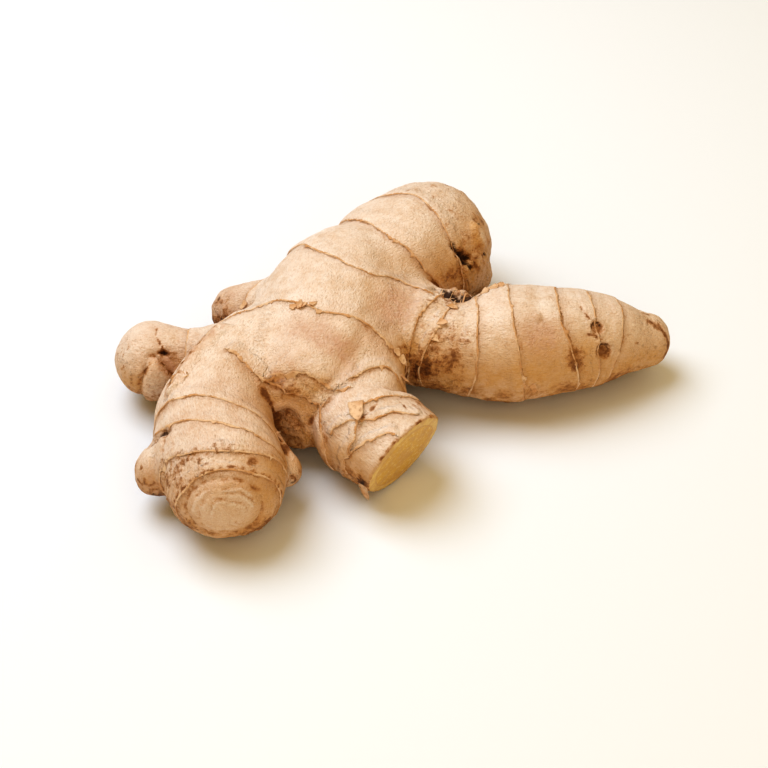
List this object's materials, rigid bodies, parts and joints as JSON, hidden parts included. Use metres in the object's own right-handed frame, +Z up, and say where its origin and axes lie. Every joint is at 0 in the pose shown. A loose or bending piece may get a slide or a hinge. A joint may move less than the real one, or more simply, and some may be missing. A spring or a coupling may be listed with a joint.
{
  "type": "ginger root",
  "caption": "Whole fresh ginger rhizome of stubby branching fingers, one sliced across, lying flat on three low spots of its underside.",
  "frame": {"origin": "middle of the footprint's box, on the surface that the rhizome rests on", "axes": "+Z up from the resting surface, +X along the longest side to the tip of the pointed finger, +Y along the trunk to the crown"},
  "size_m": [0.164, 0.1342, 0.0425],
  "materials": {
    "ginger_skin": "matte papery skin"
  },
  "bodies": {
    "root": {"rhizome": "ginger_skin"}
  },
  "joints": []
}
